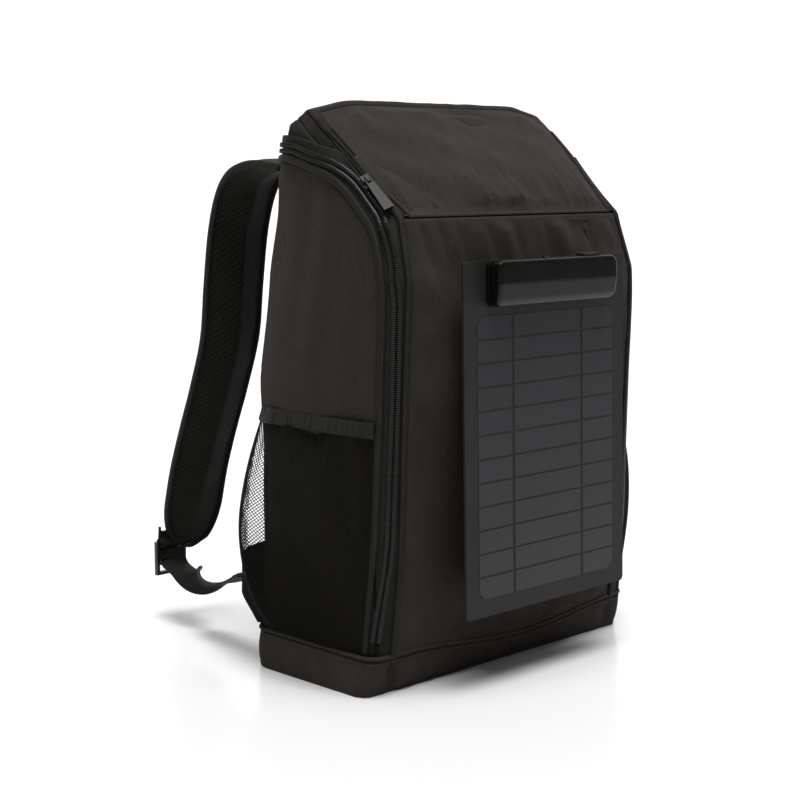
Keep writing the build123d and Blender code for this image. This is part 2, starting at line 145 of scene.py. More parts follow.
def outer_skin_tree():
    """Only the faces of the bag's panels that look outwards."""
    everything = tree_of(skin_nodes)
    vertices = []
    faces = []
    for name in skin_nodes:
        mesh = nodes[name].data
        for face in mesh.polygons:
            start = face.center + face.normal * (0.05 * mm)
            if everything.ray_cast(start, face.normal, 1)[0] is None:
                first = len(vertices)
                vertices += [mesh.vertices[i].co.copy() for i in face.vertices]
                faces.append(list(range(first, first + len(face.vertices))))
    return BVHTree.FromPolygons(vertices, faces)


skin_tree = outer_skin_tree()


def outer_edges(name):
    """Outlines of a panel on the outside of the bag, as closed loops of points."""
    shape = bmesh.new()
    shape.from_mesh(nodes[name].data)
    bmesh.ops.remove_doubles(shape, verts=shape.verts, dist=2e-6)
    on_skin = {v for v in shape.verts if skin_tree.find_nearest(v.co)[3] < 0.1 * mm}
    links = {}
    for edge in shape.edges:
        first, last = edge.verts
        if first in on_skin and last in on_skin and len(edge.link_faces) == 2:
            if edge.calc_face_angle() > 0.9:
                links.setdefault(first, []).append(last)
                links.setdefault(last, []).append(first)
    loops = []
    while links:
        start = min(links, key=lambda v: (round(v.co.z, 5), round(v.co.x, 5), round(v.co.y, 5)))
        walk = [start]
        while True:
            following = [v for v in links.get(walk[-1], []) if v in links and v not in walk[-2:]]
            following = [v for v in following if v not in walk[1:]]
            if not following or following[0] is start:
                break
            walk.append(following[0])
        for v in walk:
            links.pop(v, None)
        if len(walk) > 2:
            loops.append([v.co.copy() for v in walk])
    shape.free()
    return sorted(loops, key=lambda loop: -path_length(loop))


def path_length(path):
    return sum((b - a).length for a, b in zip(path, path[1:]))


def split_at_corners(loop, turn=0.7):
    """Cuts a closed loop into open runs at its sharp corners."""
    count = len(loop)
    corners = []
    for i in range(count):
        before = loop[i] - loop[i - 1]
        after = loop[(i + 1) % count] - loop[i]
        if before.length > 0 and after.length > 0 and before.angle(after) > turn:
            corners.append(i)
    runs = []
    for first, last in zip(corners, corners[1:] + [corners[0] + count]):
        runs.append([loop[i % count] for i in range(first, last + 1)])
    return sorted(runs, key=lambda run: -path_length(run))


def distances(points):
    """How far along a line each of its points is."""
    steps = np.linalg.norm(np.diff(points, axis=0), axis=1)
    return np.concatenate([[0], np.cumsum(steps)])


def even_count(path, count):
    """This many evenly spaced points along a line of points."""
    points = np.array([tuple(p) for p in path])
    along = distances(points)
    at = np.linspace(0, along[-1], count)
    return np.stack([np.interp(at, along, points[:, k]) for k in range(3)], axis=1)


def resample(path, step):
    """Evenly spaced points along a line of points, this far apart."""
    length = distances(np.array([tuple(p) for p in path]))[-1]
    return even_count(path, max(2, int(round(length / step)) + 1))


def smoothed(rows, passes):
    rows = rows.copy()
    for _ in range(passes):
        rows[1:-1] = rows[1:-1] * 0.5 + (rows[:-2] + rows[2:]) * 0.25
    return rows


def unit(rows):
    return rows / np.maximum(np.linalg.norm(rows, axis=1, keepdims=True), 1e-12)


def frames_on(points, normals):
    """Tangents, sides and outward directions along a line of points."""
    tangents = unit(np.gradient(points, axis=0))
    sides = unit(np.cross(normals, tangents))
    return tangents, sides, unit(np.cross(tangents, sides))


def skin_line(path, step, passes=6):
    """Evenly spaced points on the bag's skin, with smooth outward directions."""
    points = resample(path, step)
    normals = np.array([tuple(skin_tree.find_nearest(Vector(p))[1]) for p in points])
    normals = unit(smoothed(normals, passes))
    return points, normals


def swept(name, points, normals, profile):
    """Strip with a closed (side, out) profile carried along the points. profile may be a
    function of the distance along the strip."""
    _, sides, outs = frames_on(points, normals)
    along = distances(points)
    vertices = []
    for row, (point, side, out) in enumerate(zip(points, sides, outs)):
        shape = profile(along[row]) if callable(profile) else profile
        for u, v in shape:
            vertices.append(point + side * u + out * v)
    width = len(shape)
    faces = []
    for row in range(len(points) - 1):
        for k in range(width):
            a = row * width + k
            b = row * width + (k + 1) % width
            faces.append((a, b, b + width, a + width))
    faces.append(tuple(range(width))[::-1])
    faces.append(tuple(range((len(points) - 1) * width, len(points) * width)))
    return mesh_object(name, vertices, faces)


def grid_faces(across, up):
    """Faces of a grid with this many squares each way, its points counted row by row."""
    faces = []
    for j in range(up):
        for i in range(across):
            a = j * (across + 1) + i
            faces.append((a, a + 1, a + across + 2, a + across + 1))
    return faces


def repeated(name, points, normals, unit_vertices, unit_faces, shift=(0, 0)):
    """One mesh with a small shape (along, side, out) at each of the points."""
    tangents, sides, outs = frames_on(points, normals)
    small = np.array(unit_vertices)
    vertices = []
    faces = []
    for point, along, side, out in zip(points, tangents, sides, outs):
        base = point + side * shift[0] + out * shift[1]
        first = len(vertices)
        vertices += list(base + small @ np.array([along, side, out]))
        faces += [[first + i for i in face] for face in unit_faces]
    return mesh_object(name, vertices, faces)


def rounded_block(length, width, height, corner):
    """Small block with its long edges cut, centred in plan, from out 0 upwards."""
    a, b, c = length / 2, width / 2, corner
    ring = [(-b, 0), (-b, height - c), (-b + c, height), (b - c, height), (b, height - c), (b, 0)]
    vertices = []
    for x, pull in ((-a, c), (-a + c, 0), (a - c, 0), (a, c)):
        for u, v in ring:
            vertices.append((x, u * (1 - pull / b * 0.6), v * (1 - pull / height * 0.6)))
    faces = []
    count = len(ring)
    for row in range(3):
        for k in range(count - 1):
            p = row * count + k
            faces.append((p, p + 1, p + 1 + count, p + count))
    faces.append(tuple(range(count)))
    faces.append(tuple(range(3 * count, 4 * count))[::-1])
    return vertices, faces


def oval(width, height, count=10):
    """Closed (side, out) profile: an oval that is this wide and high."""
    turns = [2 * math.pi * k / count for k in range(count)]
    return [(width / 2 * math.cos(t), height / 2 * math.sin(t)) for t in turns]


# ---------------------------------------------------------------- materials
class Paint:
    """A procedural material. Each method adds nodes and returns the socket that they feed."""

    def __init__(self, name, roughness, metallic=0.0, sheen=0.0, coat=0.0, specular=0.5):
        self.material = bpy.data.materials.new(name)
        self.material.use_nodes = True
        self.tree = self.material.node_tree
        self.shader = self.tree.nodes["Principled BSDF"]
        self.shader.inputs["Roughness"].default_value = roughness
        self.shader.inputs["Metallic"].default_value = metallic
        self.shader.inputs["Sheen Weight"].default_value = sheen
        self.shader.inputs["Coat Weight"].default_value = coat
        self.shader.inputs["Specular IOR Level"].default_value = specular
        self.where = self.add("ShaderNodeTexCoord").outputs["Object"]
        apart = self.add("ShaderNodeSeparateXYZ")
        self.link(self.where, apart.inputs[0])
        self.x, self.y, self.z = apart.outputs

    def add(self, kind):
        return self.tree.nodes.new(kind)

    def link(self, source, target):
        self.tree.links.new(source, target)

    def feed(self, value, target):
        if isinstance(value, (int, float)):
            target.default_value = value
        elif isinstance(value, tuple):
            target.default_value = (*value, 1)
        else:
            self.link(value, target)

    def calc(self, operation, first, second=0.0):
        node = self.add("ShaderNodeMath")
        node.operation = operation
        self.feed(first, node.inputs[0])
        self.feed(second, node.inputs[1])
        return node.outputs[0]

    def noise(self, scale, detail=3.0, roughness=0.5, stretch=(1, 1, 1)):
        mapping = self.add("ShaderNodeMapping")
        mapping.inputs["Scale"].default_value = stretch
        self.link(self.where, mapping.inputs["Vector"])
        node = self.add("ShaderNodeTexNoise")
        node.inputs["Scale"].default_value = scale
        node.inputs["Detail"].default_value = detail
        node.inputs["Roughness"].default_value = roughness
        self.link(mapping.outputs[0], node.inputs["Vector"])
        return node.outputs[0]

    def dots(self, scale):
        """Distance to the middle of the nearest dot of an even scatter."""
        node = self.add("ShaderNodeTexVoronoi")
        node.inputs["Scale"].default_value = scale
        node.inputs["Randomness"].default_value = 0.25
        self.link(self.where, node.inputs["Vector"])
        return node.outputs["Distance"]

    def wave(self, coordinate, pitch):
        """Sine of a coordinate with one crest every pitch metres."""
        return self.calc("SINE", self.calc("MULTIPLY", coordinate, 2 * math.pi / pitch))

    def level(self, value, low, high, to_low=0.0, to_high=1.0):
        node = self.add("ShaderNodeMapRange")
        self.feed(value, node.inputs["Value"])
        for key, number in zip(
            ("From Min", "From Max", "To Min", "To Max"), (low, high, to_low, to_high)
        ):
            node.inputs[key].default_value = number
        return node.outputs[0]

    def mix(self, share, first, second):
        node = self.add("ShaderNodeMix")
        node.data_type = "RGBA"
        self.feed(share, node.inputs[0])
        self.feed(first, node.inputs[6])
        self.feed(second, node.inputs[7])
        return node.outputs[2]

    def colour(self, value):
        self.feed(value, self.shader.inputs["Base Color"])

    def rough(self, value):
        self.feed(value, self.shader.inputs["Roughness"])

    def bump(self, *heights):
        """Bumps as pairs of a height socket and its depth in metres."""
        normal = None
        for height, depth in heights:
            node = self.add("ShaderNodeBump")
            node.inputs["Strength"].default_value = 1.0
            node.inputs["Distance"].default_value = depth
            self.link(height, node.inputs["Height"])
            if normal is not None:
                self.link(normal, node.inputs["Normal"])
            normal = node.outputs[0]
        self.link(normal, self.shader.inputs["Normal"])

    def weave(self, pitch):
        """Over-and-under height of a plain weave on upright faces of any direction."""
        across = self.wave(self.calc("ADD", self.x, self.calc("MULTIPLY", self.y, 0.93)), pitch)
        return self.calc("MULTIPLY", across, self.wave(self.z, pitch))


def srgb(red, green, blue):
    """Scene-linear colour of a display colour from 0 to 255."""
    scaled = [c / 255 for c in (red, green, blue)]
    return tuple(c / 12.92 if c <= 0.04045 else ((c + 0.055) / 1.055) ** 2.4 for c in scaled)


def scaled(colour, factor):
    return tuple(c * factor for c in colour)


def make_cloth(name, base, pitch=0.9 * mm, sheen=0.03, depth=0.12 * mm, roughness=0.78):
    """Plain-weave polyester: fine over-and-under threads with slight streaks and rubbed tops."""
    paint = Paint(name, roughness, sheen=sheen, specular=0.12)
    paint.shader.inputs["Sheen Roughness"].default_value = 0.5
    threads = paint.weave(pitch)
    fuzz = paint.noise(420, 3, 0.7)
    streaks = paint.noise(120, 5, 0.7, (1, 1, 0.5))
    broad = paint.noise(9, 3)
    shade = paint.mix(paint.level(threads, -1, 1), scaled(base, 0.75), scaled(base, 1.15))
    shade = paint.mix(paint.level(streaks, 0.38, 0.62, 0, 0.45), shade, scaled(base, 1.35))
    shade = paint.mix(paint.level(broad, 0.3, 0.7, 0, 0.35), shade, scaled(base, 0.7))
    paint.colour(paint.mix(paint.level(fuzz, 0.42, 0.62, 0, 0.5), shade, scaled(base, 1.6)))
    paint.bump((threads, depth), (fuzz, depth * 2), (streaks, depth * 4))
    return paint.material


def make_tape(name, base, rear=None):
    """Woven zip tape with fine cross ribs. Behind the ridge it may be covered in bag fabric."""
    paint = Paint(name, 0.6, sheen=0.02, specular=0.12)
    slant = paint.calc("MULTIPLY", paint.calc("ADD", paint.x, paint.y), 0.5)
    ribs = paint.wave(paint.calc("ADD", paint.z, slant), 0.8 * mm)
    fuzz = paint.noise(900, 2)
    shade = paint.mix(paint.level(ribs, -1, 1), scaled(base, 0.75), scaled(base, 1.2))
    if rear:
        shade = paint.mix(paint.level(paint.y, -6 * mm, 0), shade, rear)
    paint.colour(paint.mix(paint.level(fuzz, 0.4, 0.7, 0, 0.3), shade, scaled(base, 1.6)))
    paint.bump((ribs, 0.12 * mm), (fuzz, 0.06 * mm))
    return paint.material


def make_webbing(name, base):
    """Nylon webbing: ribs along the band with a fine cross weave."""
    paint = Paint(name, 0.55, sheen=0.02, specular=0.12)
    ribs = paint.weave(1.3 * mm)
    fuzz = paint.noise(1100, 2)
    shade = paint.mix(paint.level(ribs, -1, 1), scaled(base, 0.7), scaled(base, 1.3))
    paint.colour(paint.mix(paint.level(fuzz, 0.4, 0.7, 0, 0.3), shade, scaled(base, 1.6)))
    paint.bump((ribs, 0.2 * mm), (fuzz, 0.08 * mm))
    return paint.material


def make_air_mesh(name, base):
    """Spacer mesh: round holes in an even scatter, with soft knitted walls between them. The holes
    are painted near black as painted shade.
    """
    paint = Paint(name, 0.75, sheen=0.03, specular=0.12)
    rows = paint.wave(paint.calc("SUBTRACT", paint.y, paint.z), 6.4 * mm)
    dot = paint.calc("MULTIPLY", paint.wave(paint.x, 5.2 * mm), rows)
    hole = paint.level(dot, 0.62, 0.3)
    fuzz = paint.noise(900, 2)
    # painted shade: the holes get 0.12 of the base colour and the walls 1.5 times it, standing in
    # for the shade inside the holes
    shade = paint.mix(hole, scaled(base, 0.12), scaled(base, 1.5))
    paint.colour(paint.mix(paint.level(fuzz, 0.4, 0.7, 0, 0.3), shade, scaled(base, 1.9)))
    paint.bump((hole, 0.7 * mm), (fuzz, 0.12 * mm))
    return paint.material


def make_plastic(name, base, roughness, coat=0.0, grain=0.02 * mm, specular=0.5):
    """Moulded plastic with a fine grain and faint handling marks."""
    paint = Paint(name, roughness, coat=coat, specular=specular)
    grit = paint.noise(2200, 2)
    marks = paint.noise(45, 5, 0.65)
    paint.colour(paint.mix(paint.level(marks, 0.35, 0.7), scaled(base, 0.85), scaled(base, 1.2)))
    paint.rough(paint.level(marks, 0.3, 0.7, roughness * 0.85, min(1, roughness * 1.2)))
    paint.bump((grit, grain))
    return paint.material


def make_metal(name, base, roughness):
    paint = Paint(name, roughness, metallic=1.0)
    wear = paint.noise(300, 4, 0.6)
    paint.colour(paint.mix(paint.level(wear, 0.35, 0.7), scaled(base, 0.7), scaled(base, 1.2)))
    paint.rough(paint.level(wear, 0.3, 0.7, roughness * 0.8, min(1, roughness * 1.4)))
    paint.bump((wear, 0.02 * mm))
    return paint.material


def make_laminate(name):
    """Dimpled film over the panel's dark backing."""
    paint = Paint(name, 0.5, specular=0.25)
    dimples = paint.dots(900)
    haze = paint.noise(18, 4, 0.6)
    base = srgb(30, 30, 29)
    paint.colour(paint.mix(paint.level(haze, 0.35, 0.7), scaled(base, 0.85), scaled(base, 1.2)))
    paint.bump((dimples, 0.05 * mm))
    return paint.material


def make_cell(name):
    """Silicon cell under the film: thin silver-grey finger lines across a bluish black, painted
    lighter towards the panel's foot and darker towards its top as painted light.
    """
    paint = Paint(name, 0.42, specular=0.3)
    fingers = paint.level(paint.wave(paint.z, 1.5 * mm), 0.35, 0.9)
    haze = paint.noise(14, 4, 0.6)
    # painted light: low runs from 0 at 70 mm up to 1 at 300 mm, so the ground and the finger lines
    # are painted lighter at the panel's foot and darker at its top
    low = paint.level(paint.z, 0.07, 0.3)
    dark = paint.mix(low, srgb(39, 39, 41), srgb(27, 27, 32))
    lines = paint.mix(low, srgb(67, 67, 69), srgb(46, 46, 54))
    shade = paint.mix(paint.level(haze, 0.35, 0.7, 0, 0.35), dark, srgb(44, 44, 47))
    paint.colour(paint.mix(paint.calc("MULTIPLY", fingers, 0.7), shade, lines))
    paint.bump((paint.dots(900), 0.04 * mm))
    return paint.material


black = srgb(26, 26, 23)
bag_colour = srgb(42, 37, 33)
looks = {
    "bag_fabric": make_cloth("bag_fabric", bag_colour),
    "lining_fabric": make_cloth("lining_fabric", srgb(46, 45, 44), 0.6 * mm, 0.03, 0.06 * mm, 0.6),
    "air_mesh": make_air_mesh("air_mesh", srgb(25, 25, 21)),
    "pocket_net": make_webbing("pocket_net", srgb(21, 21, 17)),
    "webbing": make_webbing("webbing", srgb(22, 21, 18)),
    "zip_tape": make_tape("zip_tape", srgb(23, 24, 20)),
    "hood_tape": make_tape("hood_tape", srgb(24, 25, 21), bag_colour),
    "zip_teeth": make_plastic("zip_teeth", srgb(36, 37, 33), 0.35),
    "zip_metal": make_metal("zip_metal", srgb(26, 26, 25), 0.3),
    "stiffener": make_plastic("stiffener", srgb(62, 62, 60), 0.6),
    "panel_laminate": make_laminate("panel_laminate"),
    "solar_cell": make_cell("solar_cell"),
    "hook_loop": make_cloth("hook_loop", black, 1.6 * mm, 0.05, 0.4 * mm),
    "box_plastic": make_plastic("box_plastic", srgb(10, 10, 8), 0.24, 0.0, 0.003 * mm, 0.22),
    "buckle_plastic": make_plastic("buckle_plastic", srgb(16, 16, 14), 0.25, 0.0, 0.004 * mm),
    "circuit_board": make_plastic("circuit_board", srgb(20, 70, 40), 0.4),
    "socket_metal": make_metal("socket_metal", srgb(190, 190, 190), 0.25),
    "screw_steel": make_metal("screw_steel", srgb(90, 90, 92), 0.35),
    "lens": make_plastic("lens", srgb(34, 38, 34), 0.15, 0.6),
    "cover_rubber": make_plastic("cover_rubber", srgb(18, 18, 18), 0.6),
    "thread": make_plastic("thread", srgb(48, 44, 40), 0.6),
    "binding": make_cloth("binding", srgb(26, 26, 22), 1.1 * mm, 0.02, 0.15 * mm, 0.5),
}


def finish_piece(thing, look, body, stands_for=()):
    """Gives a piece its material, its body and the CAD nodes it stands for."""
    thing.data.materials.clear()
    thing.data.materials.append(looks[look])
    if body:
        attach(thing, body)
    if stands_for:
        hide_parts(*stands_for)


bodies_of = {
    node: body
    for body, members in frame["record"]["behaviour"]["bodies"].items()
    for node in members
}
slots_of = {part["node"]: part["material_slot"] for part in frame["record"]["subparts"]}


# ---------------------------------------------------------------- soft pieces from CAD solids
def remeshed(name, node, voxel):
    """Even copy of a CAD solid, as a new piece."""
    mesh = nodes[node].data.copy()
    thing = bpy.data.objects.new(name, mesh)
    scene.collection.objects.link(thing)
    shape = bmesh.new()
    shape.from_mesh(mesh)
    bmesh.ops.remove_doubles(shape, verts=shape.verts, dist=2e-6)
    shape.to_mesh(mesh)
    shape.free()
    change = thing.modifiers.new("even", "REMESH")
    change.mode = "VOXEL"
    change.voxel_size = voxel
    change.use_smooth_shade = True
    bake_modifiers(thing)
    return thing


def bake_modifiers(thing):
    """Replaces the mesh by what its modifiers make of it, and drops them."""
    bpy.context.view_layer.update()
    done = bpy.data.meshes.new_from_object(
        thing.evaluated_get(bpy.context.evaluated_depsgraph_get())
    )
    done.name = thing.name
    thing.modifiers.clear()
    thing.data = done


def looseness(points, neighbours, reach):
    """0 where a piece is sewn to its neighbours, rising to 1 at this distance from them."""
    if not neighbours:
        return np.ones(len(points))
    tree = tree_of(neighbours)
    gaps = np.array([tree.find_nearest(Vector(p))[3] for p in points])
    return smoothstep(gaps, 0.8 * mm, reach)


def soften(mesh, loose, passes):
    """Evens out the creases of a panel, but not where it is sewn."""
    ends = np.empty(len(mesh.edges) * 2, dtype=int)
    mesh.edges.foreach_get("vertices", ends)
    first, last = ends.reshape(-1, 2).T
    points = points_of(mesh)
    count = np.bincount(ends, minlength=len(points))[:, None]
    for _ in range(passes):
        total = np.zeros_like(points)
        np.add.at(total, first, points[last])
        np.add.at(total, last, points[first])
        points += loose[:, None] * 0.5 * (total / count - points)
    set_points(mesh, points)


def swell(thing, loose, cap):
    """Cloth pressure on a sewn-down piece, with no gravity, and a cap on how far it moves."""
    start = points_of(thing.data)
    group = thing.vertex_groups.new(name="sewn")
    for share in range(11):
        held = np.nonzero(np.round((1 - loose) * 10).astype(int) == share)[0]
        if share and len(held):
            group.add(held.tolist(), share / 10, "REPLACE")
    cloth = thing.modifiers.new("swell", "CLOTH")
    cloth.settings.quality = 3
    cloth.settings.mass = 0.2
    cloth.settings.tension_stiffness = 12
    cloth.settings.compression_stiffness = 6
    cloth.settings.shear_stiffness = 4
    cloth.settings.bending_stiffness = 0.3
    cloth.settings.use_pressure = True
    cloth.settings.uniform_pressure_force = 4.0
    cloth.settings.effector_weights.gravity = 0
    cloth.settings.vertex_group_mass = "sewn"
    cloth.collision_settings.use_collision = False
    cloth.point_cache.frame_start = 1
    cloth.point_cache.frame_end = sim_frames
    for number in range(1, sim_frames + 1):
        scene.frame_set(number)
    shape = thing.evaluated_get(bpy.context.evaluated_depsgraph_get()).data
    moved = points_of(shape) - start
    thing.modifiers.clear()
    thing.vertex_groups.clear()
    far = np.linalg.norm(moved, axis=1, keepdims=True)
    moved *= cap * np.tanh(far / cap) / np.maximum(far, 1e-9)
    set_points(thing.data, start + moved * loose[:, None])
    scene.frame_set(1)


def soft_panel(node, neighbours, reach=16 * mm, cap=0.0, shape=None, voxel=fabric_voxel,
               look="bag_fabric", blend=None):
    """Padded fabric piece that takes the place of a plain CAD panel. shape gives, for points
    and outward directions, how far each point stands out."""
    thing = remeshed(node + "_cloth", node, voxel)
    points = points_of(thing.data)
    loose = looseness(points, neighbours, reach)
    if cap:
        soften(thing.data, loose, 60)
        swell(thing, loose, cap)
    if shape:
        points = points_of(thing.data)
        normals = normals_of(thing.data)
        set_points(thing.data, points + normals * (shape(points, normals) * loose)[:, None])
    for move in (*moves.get(node, ()), lean):
        set_points(thing.data, move(points_of(thing.data)))
    body = None if blend else bodies_of[node]
    finish_piece(thing, look, body, stands_for=[node])
    if blend:
        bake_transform(thing)


def outward(points, normals):
    """1 on faces that look away from the middle of the bag, 0 on the ones that look inwards."""
    middle = np.array([0, -15 * mm, 0])
    away = points * np.array([1, 1, 0]) - middle
    return smoothstep(np.sum(away * normals, axis=1), -0.01, 0.02)


def side_shape(points, normals):
    broad = ripple(points, 170 * mm, 3, (0, 1, 0.6)) * 2.8 * mm
    folds = ripple(points, 55 * mm, 5, (0, 1.4, 0.5)) * 0.8 * mm
    return broad + folds


def front_shape(points, normals):
    """Crowned front with short upright puckers under the hood seam and over the base seam."""
    x, z = points[:, 0], points[:, 2]
    crown = 5 * mm * np.cos(np.clip(x / (130 * mm), -1, 1) * math.pi / 2)
    crown *= np.sin(np.clip((z - base_seam_z) / (hood_seam.z - base_seam_z), 0, 1) * math.pi)
    under_hood = smoothstep(z, hood_seam.z - 60 * mm, hood_seam.z - 8 * mm)
    slanted = points + np.outer(z, [0.25, 0, 0])
    puckers = (np.abs(ripple(slanted, 44 * mm, 11, (1.6, 0, 0.08))) - 0.5) * 6 * mm
    puckers *= under_hood * (0.4 + 0.6 * smoothstep(x, -90 * mm, 40 * mm))
    low = 1 - smoothstep(z, base_seam_z, base_seam_z + 45 * mm)
    gathers = ripple(points, 34 * mm, 12, (1.4, 0, 0.15)) * 1.3 * mm * low
    near_zip = smoothstep(np.abs(x), 95 * mm, 122 * mm)
    gathers += ripple(points, 40 * mm, 14, (0.3, 0, 1.4)) * 1.0 * mm * near_zip
    broad = ripple(points, 120 * mm, 13, (1, 0, 1)) * 2.6 * mm
    return crown * outward(points, normals) + puckers + gathers + broad


def hood_shape(points, normals):
    """Soft dents in the slanted flap."""
    x, y, z = points.T
    dents = ripple(points, 85 * mm, 21, (1, 0.8, 0.8)) * 3 * mm
    fine = ripple(points, 32 * mm, 22, (1, 0.6, 0.6)) * 0.6 * mm
    over_seam = 1 - smoothstep(z, hood_seam.z + 8 * mm, hood_seam.z + 45 * mm)
    puckers = ripple(points, 24 * mm, 23, (1.6, 0.1, 0.1)) * 1.8 * mm * over_seam
    near_ridge = smoothstep(z, hood_seam.z + 55 * mm, hood_seam.z + 85 * mm)
    pulls = ripple(points, 30 * mm, 24, (1.6, 0.2, 0.2)) * 1.1 * mm * near_ridge
    crown = 4 * mm * np.cos(np.clip(x / (126 * mm), -1, 1) * math.pi / 2)
    return dents + fine + puckers + pulls + crown * smoothstep(normals[:, 2], 0, 0.4)


def gusset_shape(points, normals):
    return ripple(points, 40 * mm, 31, (0.5, 1, 1)) * 1.2 * mm


def base_shape(points, normals):
    """Band with slack folds between its seam and the ground, pinched at the corners."""
    x, y, z = points.T
    belly = np.sin(np.clip(z / base_seam_z, 0, 1) * math.pi)
    folds = ripple(points, 48 * mm, 41, (1, 1, 0.5)) * 1.0 * mm
    fine = ripple(points, 17 * mm, 42, (1, 1, 0.35)) * 0.35 * mm
    at_front = 1 - smoothstep(y, -70 * mm, -50 * mm)
    pinch = -4.5 * mm * np.exp(-((x + 127 * mm + z * 0.15) / (4 * mm)) ** 2)
    pinch += 2 * mm * np.exp(-((x + 114 * mm) / (9 * mm)) ** 2)
    pinch -= 2.5 * mm * np.exp(-((x - 132 * mm) / (4 * mm)) ** 2)
    return (folds + fine) * belly + belly * 1.0 * mm + pinch * at_front * belly


def sag(points):
    """The seam over the base hangs lower in the middle of the front than at its corners."""
    x, y, z = points.T
    aside = np.clip(np.abs(x - 15 * mm) / (130 * mm), 0, 1)
    drop = -9 * mm * np.cos(aside * math.pi / 2) ** 2
    drop *= 1 - smoothstep(y, -75 * mm, -55 * mm)
    points = np.array(points)
    points[:, 2] += drop * smoothstep(z, 0, base_seam_z) * (1 - smoothstep(z, 36 * mm, 95 * mm))
    return points


def narrow(points):
    """Keeps the mount behind the solar panel."""
    return points * np.array([0.8, 1, 1])


def settle(points):
    """Where the hood's pieces come to rest: the ends of the ridge droop, and the flap's fabric
    reaches a little way over its zip."""
    points = np.array(points)
    x, y, z = points.T
    ridge = smoothstep(y, -62 * mm, 12 * mm) * smoothstep(z, 380 * mm, 425 * mm)
    points[:, 2] -= 10 * mm * ridge * smoothstep(np.abs(x), 85 * mm, 150 * mm)
    points[:, 0] -= 6 * mm * np.sign(x) * ridge * smoothstep(np.abs(x), 128 * mm, 150 * mm)
    lap = smoothstep(np.abs(x), 100 * mm, 124 * mm) * (1 - smoothstep(np.abs(x), 127 * mm, 136 * mm))
    lap *= smoothstep(z, 366 * mm, 385 * mm)
    points[:, 0] += 5 * mm * np.sign(x) * lap
    points[:, 2] -= 0.9 * mm * lap
    return points


moves = {
    "front_panel": [sag], "base_band": [sag], "panel_mount_pad": [narrow],
    "hood_flap": [settle], "hood_zip_flap_tape": [settle], "hood_zip_gusset_tape": [settle],
    "left_hood_gusset": [settle], "right_hood_gusset": [settle], "hood_rear_panel": [settle],
}


def pad_shape(points, normals):
    """Air-mesh back pad with two sewn channels across it."""
    z = points[:, 2]
    rise = 1.5 * mm * np.ones(len(points))
    for height in (178 * mm, 234 * mm, 290 * mm):
        rise -= 3.5 * mm * np.exp(-((z - height) / (2.6 * mm)) ** 2)
    return rise


def slack_shape(points, normals):
    return ripple(points, 60 * mm, 51) * 0.6 * mm


def thin_piece(node, look):
    """Thin sewn sheet that hangs a little slack, in place of its flat CAD solid."""
    longest_edge = 9 * mm
    mesh = nodes[node].data.copy()
    thing = bpy.data.objects.new(node + "_cloth", mesh)
    scene.collection.objects.link(thing)
    shape = bmesh.new()
    shape.from_mesh(mesh)
    bmesh.ops.remove_doubles(shape, verts=shape.verts, dist=2e-6)
    for _ in range(6):
        long = [e for e in shape.edges if e.calc_length() > longest_edge]
        bmesh.ops.subdivide_edges(shape, edges=long, cuts=1)
        bmesh.ops.triangulate(shape, faces=shape.faces)
    shape.to_mesh(mesh)
    shape.free()
    points = points_of(mesh)
    wander = [ripple(points, 60 * mm, seed) * 1.0 * mm for seed in (81, 82, 83)]
    set_points(mesh, lean(points + np.stack(wander, axis=1)))
    finish_piece(thing, look, bodies_of[node], stands_for=[node])


def tape_shape(points, normals):
    return ripple(points, 22 * mm, 91) * 0.25 * mm - 0.3 * mm


def strip_shape(points, normals):
    return ripple(points, 14 * mm, 92) * 0.3 * mm


